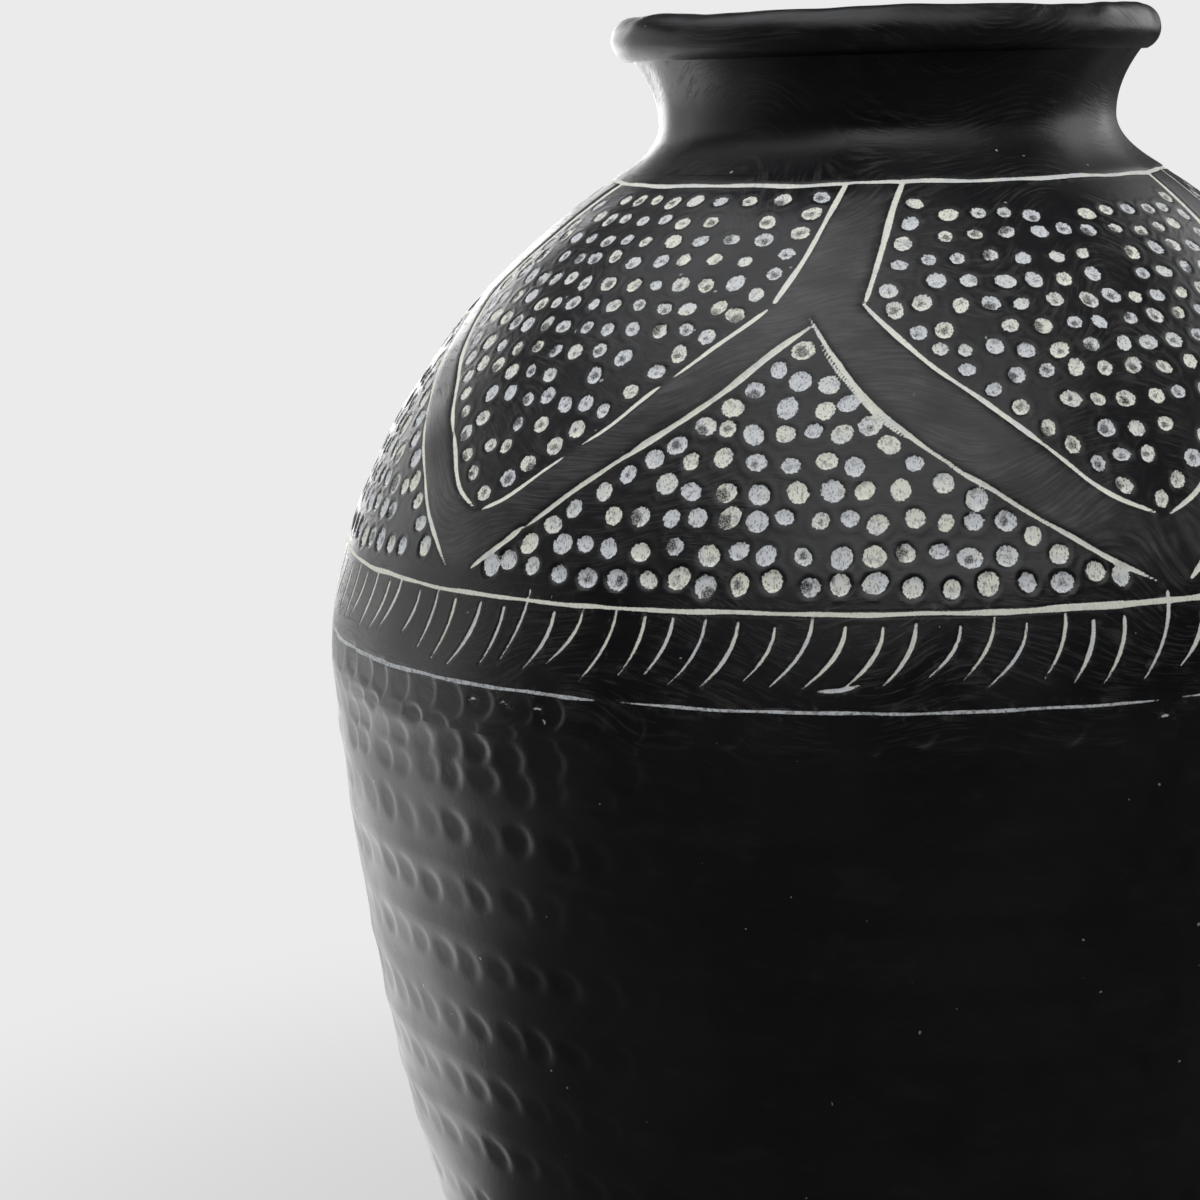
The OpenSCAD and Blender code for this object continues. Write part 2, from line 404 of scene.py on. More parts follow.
# Rows of dimples pressed with a fingertip: height, half height, pitch in degrees, depth, crispness
DIMPLE_ROWS = [(180.2, 4.7, 4.24, 0.46, 0.85), (174.2, 2.3, 4.24, 0.35, 0.85), (169.4, 4.0, 4.24, 0.50, 0.85),
               (162.3, 4.0, 4.45, 0.38, 0.6), (149.8, 4.7, 4.39, 0.46, 0.2), (134.5, 4.6, 4.39, 0.46, 0.15),
               (118.0, 4.3, 4.39, 0.44, 0.1), (101.5, 4.3, 4.5, 0.42, 0.1), (85.0, 4.2, 4.62, 0.40, 0.1),
               (68.5, 4.2, 4.74, 0.38, 0.1), (52.0, 4.0, 4.93, 0.36, 0.1), (35.5, 3.8, 5.14, 0.32, 0.1)]
dimples = []
for z, half, pitch, depth, crisp in DIMPLE_ROWS:
    count = round(360 / pitch)
    start = rng.uniform(0, pitch)
    for n in range(count):
        dimples.append(((start + n * 360 / count + rng.normal(0, 0.32) + 180) % 360 - 180,
                        along(z + rng.normal(0, 0.5)), half * rng.uniform(0.8, 1.12),
                        math.radians(360 / count) * outside_r(z) * rng.uniform(0.44, 0.53),
                        depth * rng.uniform(0.35, 1.2), crisp,
                        rng.normal(0.05, 0.1) - 0.35 * (1 - crisp)))


# ---------------------------------------------------------------- relief

def waves(turn, s, seed, turns, heights, count=7):
    """A smooth wander over the jar, between about -1 and 1, that closes up all round."""
    draw = np.random.RandomState(seed)
    total = np.zeros_like(s)
    for _ in range(count):
        total += np.sin(np.radians(turn) * draw.randint(turns[0], turns[1] + 1)
                        + s * 6.28 / draw.uniform(*heights) + draw.uniform(0, 6.28))
    return total / math.sqrt(count)


def smoothstep(x, low, high):
    t = np.clip((x - low) / (high - low), 0, 1)
    return t * t * (3 - 2 * t)


def inside_outline(turn, s, outline):
    """True where a point lies inside a closed outline of (angle, distance) corners."""
    inside = np.zeros(len(s), bool)
    for (x1, y1), (x2, y2) in zip(outline, outline[1:] + outline[:1]):
        crosses = (y1 > s) != (y2 > s)
        with np.errstate(divide="ignore", invalid="ignore"):
            inside ^= crosses & (turn < (x2 - x1) * (s - y1) / (y2 - y1) + x1)
    return inside


# What the material reads at each point, and its value away from any mark
BLANK = {"fill": 4.0, "worn": -2.0, "warm": 0.6, "ragged": 1.0, "rib_sheen_mask": 0.0}


class Skin:
    """The outside of one ring: where its points lie, and what the marks do to them."""

    def __init__(self, turn, z):
        order = np.argsort(turn, kind="stable")
        self.order, self.turn, self.z = order, turn[order], z[order]
        self.s, self.r = along(self.z), outside_r(self.z)
        self.fill, self.worn, self.warm, self.ragged, self.rib_sheen_mask = (np.full(len(turn), value)
                                                                      for value in BLANK.values())
        self.lift = np.zeros(len(turn))

    def slices(self, turn, spread):
        for about in (turn, turn - 360, turn + 360):
            low, high = np.searchsorted(self.turn, (about - spread, about + spread))
            if high > low:
                yield slice(low, high), about

    def mark(self, where, edge, worn, warm, ragged):
        """Keeps the nearest mark's edge distance, wear, warmth and raggedness."""
        nearer = edge < self.fill[where]
        for own, new in ((self.fill, edge), (self.worn, worn), (self.warm, warm), (self.ragged, ragged)):
            own[where] = np.where(nearer, new, own[where])

    def punch(self):
        low, high = self.s.min() - 6, self.s.max() + 6
        for turn, s, radius, long, lean, worn, off_x, off_y, warm, sink in dots.rows:
            if not low < s < high:
                continue
            spread = math.degrees((radius + 2.5) / outside_r(height_at(s)))
            for where, about in self.slices(turn, spread):
                x = np.radians(self.turn[where] - about) * self.r[where]
                y = self.s[where] - s
                c, d = math.cos(math.radians(lean)), math.sin(math.radians(lean))
                far = np.hypot((x * c + y * d) * long, (y * c - x * d) / long)
                self.mark(where, far - radius, worn - np.hypot(x + off_x, y - off_y), warm, DOT_RAGGED)
                depth = DOT_DEPTH + DOT_DEPTH_SPREAD * sink
                bowl = depth * (1 - smoothstep(far, radius - 0.6, radius + 0.75))
                rim = DOT_RIM * np.exp(-((far - radius - 1.15) / 0.5) ** 2)
                self.lift[where] = np.minimum(self.lift[where], -bowl) + rim

    def cut(self, drawn):
        low, high = self.s.min() - 4, self.s.max() + 4
        groove = np.zeros(len(self.s))
        for t1, s1, t2, s2, w1, w2, warm, fade in drawn.parts:
            if max(s1, s2) < low or min(s1, s2) > high:
                continue
            r = float(outside_r(height_at((s1 + s2) / 2)))
            spread = abs(t2 - t1) / 2 + math.degrees(4 / r)
            for where, about in self.slices((t1 + t2) / 2, spread):
                first = about + (t1 - t2) / 2
                x = np.radians(self.turn[where] - first) * self.r[where]
                y = self.s[where] - s1
                bx, by = math.radians(t2 - t1) * r, s2 - s1
                share = np.clip((x * bx + y * by) / (bx * bx + by * by), 0, 1)
                far = np.hypot(x - share * bx, y - share * by)
                half = (w1 + (w2 - w1) * share) / 2
                self.mark(where, far - half, np.full_like(far, fade), warm, LINE_RAGGED)
                deep = -LINE_DEPTH * (1 - smoothstep(far, half * 0.2, half + 0.3))
                burr = LINE_BURR * np.exp(-((far - half - 0.5) / 0.4) ** 2)
                cut = np.where(np.abs(deep) > np.abs(groove[where]), deep, groove[where])
                groove[where] = np.where(cut > -0.02, np.maximum(cut, burr), cut)
        self.lift += groove

    def press(self):
        low, high = self.s.min() - 8, self.s.max() + 8
        scoops = np.zeros(len(self.s))
        for turn, s, half, wide, depth, keen, lean in dimples:
            if not low < s < high:
                continue
            spread = math.degrees(wide * 1.3 / outside_r(height_at(s)))
            for where, about in self.slices(turn, spread):
                x = -np.radians(self.turn[where] - about) * self.r[where] / wide
                y = (self.s[where] - s) / half
                x = x - lean * y
                crisp = keen * smoothstep(x, -0.2, 0.6) * smoothstep(x + 0.9 - np.abs(y), 0, 0.5)
                round_ = 1 - smoothstep(np.hypot(x, y), 0.42 + 0.44 * crisp, 1.1 - 0.05 * crisp)
                ramp = 0.35 + 0.65 * smoothstep(x, -1.0, 0.7)
                scoops[where] = np.minimum(scoops[where], -depth * round_ * ramp)
        self.lift += scoops

    def bulge(self):
        """Soft ridges where the lower rings meet, and the slow wander of a jar turned by hand."""
        for z in JOINTS[1:WALL_RINGS + 1]:
            near = (self.s - along(z) - 0.7 * waves(self.turn, self.s, int(z), (2, 9), (60, 90), 4)) / 3.2
            tall = 0.28 + 0.16 * waves(self.turn, self.s, int(z) + 1, (2, 7), (60, 90), 4)
            self.lift += np.clip(tall, 0.05, 0.7) * np.exp(-near * near)
        self.lift += 0.30 * waves(self.turn, self.s, 5, (1, 4), (120, 260))
        self.lift += 0.09 * waves(self.turn, self.s, 6, (6, 20), (25, 60))

    def sink_panels(self):
        """The punched fields lie a little lower than the ribs between them, which the stone has burnished;
        the ribs are also marked for a painted sheen.
        """
        # Where the painted sheen goes: the shoulder between the band and the top of the cuts, less the
        # punched fields.
        shoulder = smoothstep(self.z, UPPER_LINE_Z + 1, UPPER_LINE_Z + 6)
        self.rib_sheen_mask[:] = shoulder * smoothstep(self.z, CUT_TOP_Z, CUT_TOP_Z - 4)
        for k in range(-1, SIDES + 1):
            turn = PANEL_TURN + SIDE * k
            panel = PANEL_LEFT + PANEL_LEFT_UP + PANEL_RIGHT_UP[::-1] + PANEL_RIGHT[::-1]
            left, right = TRIANGLE_LEFT, shifted(triangle_right(k - 1), -SIDE)
            triangle = right + left + [(left[-1][0], TRIANGLE_FOOT_Z), (right[0][0], TRIANGLE_FOOT_Z)]
            for outline in (panel, triangle):
                corners = [(p[0] + turn, float(along(p[1]))) for p in outline]
                turns = [c[0] for c in corners]
                middle, reach = (min(turns) + max(turns)) / 2, (max(turns) - min(turns)) / 2 + 4
                for where, about in self.slices(middle, reach):
                    t = self.turn[where] - about + middle
                    s, r = self.s[where], self.r[where]
                    far = np.full(len(t), 9.0)
                    for (x1, y1), (x2, y2) in zip(corners, corners[1:] + corners[:1]):
                        x, y = np.radians(t - x1) * r, s - y1
                        bx, by = math.radians(x2 - x1) * r, y2 - y1
                        share = np.clip((x * bx + y * by) / np.maximum(bx * bx + by * by, 1e-6), 0, 1)
                        far = np.minimum(far, np.hypot(x - share * bx, y - share * by))
                    signed = np.where(inside_outline(t, s, corners), -far, far)
                    foot = smoothstep(self.z[where], UPPER_LINE_Z + 4, UPPER_LINE_Z + 14)
                    self.lift[where] -= FIELD_DEPTH * foot * (1 - smoothstep(signed, -1.0, 2.6))
                    self.rib_sheen_mask[where] *= smoothstep(signed, -0.5, 2.0)

    def result(self):
        back = np.empty_like(self.order)
        back[self.order] = np.arange(len(self.order))
        return [own[back] for own in (self.lift, self.fill, self.worn, self.warm, self.ragged, self.rib_sheen_mask)]


# ---------------------------------------------------------------- meshes

DOUBLINGS = 5             # a ring is one spun sector, doubled this many times
SAME_POINT = 4e-5         # metres
# Distance between points: on the plain rings, on the marked ones, on the band, and inside
PLAIN_PITCH, MARKED_PITCH, BAND_PITCH, INSIDE_PITCH = 1.0, 0.55, 0.52, 3.5


def run_of(section):
    """Distance along a section, in millimetres, with its closing stretch last."""
    around = np.array(section + section[:1], float)
    return run_along(*np.diff(around, axis=0).T)


def shown(name, data):
    thing = bpy.data.objects.new(name, data)
    bpy.context.collection.objects.link(thing)
    return thing


def piece_of(name, bm):
    mesh = bpy.data.meshes.new(name)
    bm.to_mesh(mesh)
    bm.free()
    return shown(name, mesh)


def spin_section(name, section, turns, closed=True):
    """A ring made by spinning a section, given as (radius, height) in millimetres, round the jar's axis."""
    bm = bmesh.new()
    across = bm.verts.layers.float.new("across")
    run = run_of(section)
    verts = []
    for (r, z), at in zip(section, run):
        vert = bm.verts.new((0, -r * MM, z * MM))
        vert[across] = at
        verts.append(vert)
    pairs = list(zip(verts, verts[1:] + verts[:1])) if closed else list(zip(verts, verts[1:]))
    edges = [bm.edges.new(pair) for pair in pairs]
    sectors = 2 ** DOUBLINGS
    bmesh.ops.spin(bm, geom=verts + edges, cent=(0, 0, 0), axis=(0, 0, 1), angle=math.tau / sectors,
                   steps=round(turns / sectors), use_merge=False)
    for n in range(DOUBLINGS):
        copied = bmesh.ops.duplicate(bm, geom=bm.verts[:] + bm.edges[:] + bm.faces[:])["geom"]
        bmesh.ops.rotate(bm, verts=[e for e in copied if isinstance(e, bmesh.types.BMVert)], cent=(0, 0, 0),
                         matrix=Matrix.Rotation(math.tau / sectors * 2 ** n, 3, "Z"))
    bmesh.ops.remove_doubles(bm, verts=bm.verts, dist=SAME_POINT)
    bmesh.ops.recalc_face_normals(bm, faces=bm.faces)
    return piece_of(name, bm)


def coordinates(mesh):
    co = np.empty(len(mesh.vertices) * 3)
    mesh.vertices.foreach_get("co", co)
    return co.reshape(-1, 3) / MM


def place(mesh, co):
    mesh.vertices.foreach_set("co", (co * MM).ravel())
    mesh.update()


def turn_of(co):
    """Angle round the jar of each point, 0 at the front."""
    return np.degrees(np.arctan2(-co[:, 0], -co[:, 1]))


def across_of(mesh):
    across = np.empty(len(mesh.vertices), np.float32)
    mesh.attributes["across"].data.foreach_get("value", across)
    return across


def smooth(piece, angle=38):
    piece.data.shade_smooth()
    piece.data.set_sharp_from_angle(angle=math.radians(angle))


def write_marks(mesh, chosen, marks):
    for label, values in zip(BLANK, marks):
        every = np.full(len(mesh.vertices), BLANK[label], np.float32)
        every[chosen] = values
        mesh.attributes.new(label, "FLOAT", "POINT").data.foreach_set("value", every)


def carve(piece, first, last):
    """Gives the outside of a ring its relief, and writes what the marks say for the material.
    The outside runs from first to last along the ring's section."""
    mesh = piece.data
    co, across = coordinates(mesh), across_of(mesh)
    chosen = (across > first - 0.01) & (across < last + 0.01)
    r, z = np.hypot(co[chosen, 0], co[chosen, 1]), co[chosen, 2]
    skin = Skin(turn_of(co[chosen]), z)
    skin.sink_panels()
    skin.punch()
    skin.cut(lines)
    skin.cut(band_lines)
    skin.press()
    skin.bulge()
    lift, *marks = skin.result()
    lift = lift * smoothstep(z, 1.0, 12.0)
    out, up = outward(z)
    co[chosen] += np.stack([lift * out * co[chosen, 0] / r, lift * out * co[chosen, 1] / r, lift * up], 1)
    inside = ~chosen
    r, z = np.hypot(co[inside, 0], co[inside, 1]), co[inside, 2]
    lift = 0.5 * waves(turn_of(co[inside]), z, 9, (2, 11), (14, 40)) * smoothstep(outside_r(z) - r, 3.0, 6.5)
    co[inside, :2] *= (1 + lift / np.maximum(r, 1))[:, None]
    place(mesh, co)
    write_marks(mesh, chosen, marks)


def lay_map(piece, last):
    """A flat map of a ring: its outside in stacked strips, and the rest in two strips over them."""
    mesh, share, gap = piece.data, 0.74, 0.006
    co, across = coordinates(mesh), across_of(mesh)
    total = across.max() + JOINT_BEVEL + WALL
    loops = np.empty(len(mesh.loops), np.int64)
    mesh.loops.foreach_get("vertex_index", loops)
    counts = np.empty(len(mesh.polygons), np.int64)
    mesh.polygons.foreach_get("loop_total", counts)
    starts = np.concatenate([[0], np.cumsum(counts)[:-1]])
    face = np.repeat(np.arange(len(counts)), counts)
    turn = np.arctan2(co[:, 0], co[:, 1])[loops]
    middle = np.arctan2(np.add.reduceat(np.sin(turn), starts), np.add.reduceat(np.cos(turn), starts))[face]
    middle = middle / math.tau + 0.5
    u = turn / math.tau + 0.5
    u -= np.round(u - middle)
    v = across[loops]
    outer = np.maximum.reduceat(v, starts)[face] < last + 0.01
    closing = np.minimum.reduceat(v, starts)[face] < 0.01
    outer &= ~(closing & (np.maximum.reduceat(v, starts)[face] > last * 0.9))
    v = np.where(~outer & (v < 0.01), total, v)
    wide = math.tau * np.hypot(co[:, 0], co[:, 1]).max()
    uv = np.empty((len(loops), 2))
    stacks = ((outer, max(1, round(math.sqrt(share * wide / last))), 0.0, share, v / last),
              (~outer, 2, share, 1 - share, (v - last) / (total - last)))
    for chosen, strips, floor_, room, high in stacks:
        strip = np.clip(np.floor(middle * strips), 0, strips - 1)
        step = room / strips
        uv[chosen, 0] = (gap + (1 - 2 * gap) * (u * strips - strip))[chosen]
        uv[chosen, 1] = (floor_ + step * strip + gap / 2 + (step - gap) * np.clip(high, 0, 1))[chosen]
    mesh.uv_layers.new(name="OFBake").data.foreach_set("uv", uv.ravel())


# ---------------------------------------------------------------- surface

def node_group(name, inputs, outputs):
    tree = bpy.data.node_groups.new(name, "ShaderNodeTree")
    for label, kind in inputs:
        tree.interface.new_socket(label, in_out="INPUT", socket_type=kind)
    for label, kind in outputs:
        tree.interface.new_socket(label, in_out="OUTPUT", socket_type=kind)
    return tree, tree.nodes.new("NodeGroupInput"), tree.nodes.new("NodeGroupOutput")


def plug(tree, node, inputs):
    """Gives each input its value, or links it to the socket that feeds it."""
    for label, value in inputs.items():
        if isinstance(value, bpy.types.NodeSocket):
            tree.links.new(value, node.inputs[label])
        else:
            node.inputs[label].default_value = value


def add(tree, kind, inputs=None, **settings):
    node = tree.nodes.new(kind)
    for label, value in settings.items():
        setattr(node, label, value)
    plug(tree, node, inputs or {})
    return node


def maths(tree, operation, *values):
    return add(tree, "ShaderNodeMath", dict(enumerate(values)), operation=operation).outputs[0]


def times(tree, first, second):
    return maths(tree, "MULTIPLY", first, second)


def between(tree, value, low, high, to_low=0.0, to_high=1.0):
    """A soft step from to_low to to_high as the value goes from low to high."""
    node = add(tree, "ShaderNodeMapRange", {"Value": value, "From Min": low, "From Max": high,
                                             "To Min": to_low, "To Max": to_high},
               interpolation_type="SMOOTHSTEP")
    return node.outputs["Result"]


def noise(tree, where, scale, detail=3.0, roughness=0.55):
    node = add(tree, "ShaderNodeTexNoise", {"Vector": where, "Scale": scale, "Detail": detail,
                                             "Roughness": roughness})
    return node.outputs["Fac"]


def stretched(tree, where, scale, turn=(0, 0, 0)):
    node = add(tree, "ShaderNodeMapping", {"Vector": where, "Scale": scale, "Rotation": turn})
    return node.outputs["Vector"]


def mixed(tree, share, first, second):
    return add(tree, "ShaderNodeMix", {0: share, 6: first, 7: second}, data_type="RGBA").outputs[2]


VECTOR, FLOAT, COLOR = "NodeSocketVector", "NodeSocketFloat", "NodeSocketColor"

CREAM, COOL_WHITE, RUBBED_GREY = (0.80, 0.80, 0.70, 1), (0.68, 0.70, 0.72, 1), (0.24, 0.25, 0.27, 1)
BLACK, SMOKE, BROWN = (0.0040, 0.0042, 0.0050, 1), (0.0085, 0.0086, 0.0098, 1), (0.020, 0.017, 0.015, 1)
# Painted sheen: the ribs' colour is lightened towards the first colour on the next line, in place of their
# brighter reflection; the scratch colour is the stone's own marks.
PAINTED_RIB_SHEEN, SCRATCH = (0.060, 0.057, 0.057, 1), (0.056, 0.053, 0.051, 1)
CHALK_HAZE, SPECK = (0.34, 0.33, 0.30, 1), (0.6, 0.6, 0.56, 1)
CHALK_ROUGHNESS, CLAY_SPECULAR = 0.82, 0.28
BUMP_STRENGTH, BUMP_DISTANCE = 0.22, 0.00022


def chalk_group():
    """Where pale clay still sits in the marks: ragged edges, worn middles and streaks of wiping."""
    tree, given, made = node_group("chalk_left_in_marks",
                                   [("Position", VECTOR), ("Edge", FLOAT), ("Worn", FLOAT), ("Warmth", FLOAT),
                                    ("Ragged", FLOAT)],
                                   [("Mask", FLOAT), ("Colour", COLOR), ("Grain", FLOAT)])
    place_, edge, torn = (given.outputs[label] for label in ("Position", "Edge", "Ragged"))
    coarse = noise(tree, place_, 560.0, 2.0)
    teeth = noise(tree, place_, 1500.0, 1.0)
    fine = noise(tree, place_, 3200.0, 3.0, 0.7)
    wander = maths(tree, "MULTIPLY_ADD", maths(tree, "SUBTRACT", coarse, 0.48), 0.6,
                   times(tree, maths(tree, "SUBTRACT", teeth, 0.5), 0.8))
    ragged = maths(tree, "MULTIPLY_ADD", wander, torn, edge)
    ragged = maths(tree, "MULTIPLY_ADD", maths(tree, "SUBTRACT", fine, 0.5), 0.3, ragged)
    whole = between(tree, ragged, 0.1, -0.1)
    rub = maths(tree, "SUBTRACT", noise(tree, place_, 1000.0, 3.0, 0.65), 0.5)
    wiped = maths(tree, "MULTIPLY_ADD", rub, 2.6, given.outputs["Worn"])
    bare = between(tree, wiped, -0.35, 0.5)
    specks = between(tree, fine, 0.44, 0.56)
    bare = times(tree, bare, maths(tree, "MULTIPLY_ADD", specks, -0.5, 1.0))
    kept = maths(tree, "SUBTRACT", 1.0, bare)
    streaks = noise(tree, stretched(tree, place_, (2600, 2600, 650), (0.5, 0.3, 0.0)), 1.0, 2.0)
    scored = times(tree, between(tree, streaks, 0.46, 0.34, 0.0, 0.62), torn)
    mask = times(tree, times(tree, whole, kept), maths(tree, "SUBTRACT", 1.0, scored))
    patch = noise(tree, place_, 170.0, 2.0)
    tone = between(tree, maths(tree, "MULTIPLY_ADD", maths(tree, "SUBTRACT", patch, 0.5), 1.6,
                               given.outputs["Warmth"]), 0.2, 0.9)
    colour = mixed(tree, tone, COOL_WHITE, CREAM)
    mottle = between(tree, noise(tree, place_, 640.0, 3.0, 0.65), 0.50, 0.30, 0.0, 0.65)
    mottle = times(tree, mottle, between(tree, torn, 0.2, 1.0, 0.3, 1.0))
    colour = mixed(tree, mottle, colour, RUBBED_GREY)
    plug(tree, made, {"Mask": mask, "Colour": colour, "Grain": times(tree, fine, torn)})
    return tree


def clay_group():
    """The fired clay between the marks: smoke tints, dust, the fine scratches of the burnishing stone, and a
    painted sheen on the ribs.
    """
    tree, given, made = node_group("burnished_black_clay",
                                   [("Position", VECTOR), ("Edge", FLOAT), ("Rib Sheen Mask", FLOAT)],
                                   [("Colour", COLOR), ("Roughness", FLOAT), ("Height", FLOAT)])
    place_ = given.outputs["Position"]
    smoke = noise(tree, place_, 22.0, 3.0)
    warmth = noise(tree, stretched(tree, place_, (70, 70, 150)), 1.0, 3.0)
    colour = mixed(tree, between(tree, smoke, 0.35, 0.65), BLACK, SMOKE)
    colour = mixed(tree, between(tree, warmth, 0.56, 0.74, 0.0, 0.35), colour, BROWN)
    sway = add(tree, "ShaderNodeTexNoise", {"Vector": place_, "Scale": 16.0, "Detail": 1.0})
    bent = {0: sway.outputs["Color"], 1: (0.03, 0.03, 0.06), 2: place_}
    bent = add(tree, "ShaderNodeVectorMath", bent, operation="MULTIPLY_ADD").outputs[0]
    first = noise(tree, stretched(tree, bent, (130, 130, 1900), (0.35, 0.25, 0)), 1.0, 3.0, 0.6)
    second = noise(tree, stretched(tree, bent, (110, 110, 1200), (-0.4, 0.5, 0)), 1.0, 2.0, 0.6)
    scratches = maths(tree, "MAXIMUM", between(tree, first, 0.50, 0.68), between(tree, second, 0.54, 0.72))
    patches = between(tree, noise(tree, place_, 60.0, 2.0), 0.36, 0.58)
    height = add(tree, "ShaderNodeSeparateXYZ", {"Vector": place_}).outputs["Z"]
    above = between(tree, height, (BELLY_Z - 8) * MM, (BELLY_Z + 14) * MM, 0.12, 1.0)
    scratches = times(tree, times(tree, scratches, patches), above)
    # Painted sheen: the ribs are lightened along the stone's streaks, in place of a brighter reflection.
    sheen = times(tree, between(tree, first, 0.36, 0.66, 0.3, 1.0), given.outputs["Rib Sheen Mask"])
    sheen = times(tree, sheen, between(tree, warmth, 0.35, 0.65, 0.35, 1.0))
    colour = mixed(tree, sheen, colour, PAINTED_RIB_SHEEN)
    specks = between(tree, noise(tree, place_, 640.0, 0.0), 0.885, 0.90)
    near = between(tree, given.outputs["Edge"], 2.4, 0.1)
    haze = between(tree, noise(tree, place_, 420.0, 4.0, 0.7), 0.52, 0.78)
    haze = times(tree, times(tree, haze, near), 0.16)
    colour = mixed(tree, haze, colour, CHALK_HAZE)
    colour = mixed(tree, times(tree, specks, 0.5), colour, SPECK)
    colour = mixed(tree, times(tree, scratches, 0.36), colour, SCRATCH)
    rough = between(tree, noise(tree, place_, 34.0, 3.0), 0.3, 0.7, 0.30, 0.42)
    rough = maths(tree, "MULTIPLY_ADD", scratches, 0.14, rough)
    rough = maths(tree, "MULTIPLY_ADD", haze, 1.2, rough)
    bumps = maths(tree, "MULTIPLY_ADD", scratches, -0.5, noise(tree, place_, 700.0, 4.0, 0.65))
    plug(tree, made, {"Colour": colour, "Roughness": rough, "Height": bumps})
    return tree


CHALK, CLAY = chalk_group(), clay_group()


def clay_material(name, chalk=True):
    material = bpy.data.materials.new(name)
    material.use_nodes = True
    tree = material.node_tree
    shader = tree.nodes["Principled BSDF"]
    position = add(tree, "ShaderNodeTexCoord").outputs["Object"]
    marks = {label: add(tree, "ShaderNodeAttribute", attribute_name=label).outputs["Fac"]
             for label in BLANK} if chalk else BLANK
    clay = add(tree, "ShaderNodeGroup",
               {"Position": position, "Edge": marks["fill"], "Rib Sheen Mask": marks["rib_sheen_mask"]}, node_tree=CLAY)
    colour, rough, height = (clay.outputs[label] for label in ("Colour", "Roughness", "Height"))
    if chalk:
        left = add(tree, "ShaderNodeGroup",
                   {"Position": position, "Edge": marks["fill"], "Worn": marks["worn"],
                    "Warmth": marks["warm"], "Ragged": marks["ragged"]}, node_tree=CHALK)
        mask = left.outputs["Mask"]
        colour = mixed(tree, mask, colour, left.outputs["Colour"])
        rough = add(tree, "ShaderNodeMix", {0: mask, 2: rough, 3: CHALK_ROUGHNESS}).outputs[0]
        grain = times(tree, mask, left.outputs["Grain"])
        height = maths(tree, "MULTIPLY_ADD", grain, 1.6, height)
    bump = add(tree, "ShaderNodeBump",
               {"Height": height, "Strength": BUMP_STRENGTH, "Distance": BUMP_DISTANCE}).outputs["Normal"]
    plug(tree, shader, {"Base Color": colour, "Roughness": rough, "Normal": bump,
                        "Specular IOR Level": CLAY_SPECULAR})
    return material


# ---------------------------------------------------------------- pieces

def hand_over(piece, material, *nodes, slot="black_clay"):
    piece.data.materials.append(material)
    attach(piece, "root")
    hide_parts(*nodes)
    return piece


def wall_section(outside, inside, pitch):
    """A ring's section: up its outside, over its top, down its inside and under its foot."""
    over = resampled([outside[-1], inside[0]], pitch)[1:-1]
    under = resampled([inside[-1], outside[0]], pitch)[1:-1]
    return [tuple(p) for p in np.concatenate([outside, over, inside, under])]


def make_ring(name, node, z1, z2, pitch, material):
    """One ring of clay, from the joint at z1 to the joint at z2."""
    outside = outer_run(z1, z2, pitch)
    inside = inner_run(z2 + JOINT_BEVEL, z1 + JOINT_BEVEL, INSIDE_PITCH)
    section = wall_section(outside, inside, INSIDE_PITCH)
    turns = round(math.tau * outside[:, 0].max() / pitch)
    piece = spin_section(name, section, turns)
    last = run_of(section)[len(outside) - 1]
    lay_map(piece, last)
    carve(piece, 0, last)
    smooth(piece)
    return hand_over(piece, material, node)


def make_base(material):
    """The base slab: a shallow dish with a hollow pressed into its underside."""
    top = JOINTS[0]
    outside = outer_run(0, top, 1.0)
    cove_top = inner_run(top + JOINT_BEVEL, top + JOINT_BEVEL + 1, 1)[0]
    cove = [(cove_top[0] - COVE_W * t, FLOOR_T + (cove_top[1] - FLOOR_T) * (1 - t) ** 2)
            for t in np.linspace(0, 1, 10)]
    hollow_edge = HOLLOW_R - 3 * HOLLOW_DEPTH
    under = [(hollow_edge * t, HOLLOW_DEPTH) for t in np.linspace(0, 1, 16)]
    under += [(hollow_edge + 3 * HOLLOW_DEPTH * t, HOLLOW_DEPTH * (1 - t * t * (3 - 2 * t)))
              for t in np.linspace(0, 1, 8)[1:]]
    standing = [(HOLLOW_R + (BASE_R - HOLLOW_R) * t, 0.0) for t in np.linspace(0, 1, 8)[1:-1]]
    floor_ = [(cove[-1][0] * t, FLOOR_T) for t in np.linspace(1, 0, 26)[1:]]
    section = under + standing + [tuple(p) for p in outside] + cove + floor_
    run = run_of(section)
    start = len(under) + len(standing)
    piece = spin_section("base_slab_clay", section, 620, closed=False)
    carve(piece, run[start], run[start + len(outside) - 1])
    smooth(piece)
    return hand_over(piece, material, "base_slab")


def make_neck(material):
    """The neck collar, which flares to the joint under the rim."""
    outside = outer_run(SHOULDER_TOP_Z, LIP_Z, 0.8)
    inside = inner_run(LIP_Z, SHOULDER_TOP_Z + JOINT_BEVEL, 1.6)
    section = wall_section(outside, inside, 3)
    piece = spin_section("neck_collar_clay", section, 480)
    carve(piece, 0, run_of(section)[len(outside) - 1])
    smooth(piece)
    return hand_over(piece, material, "neck_collar")


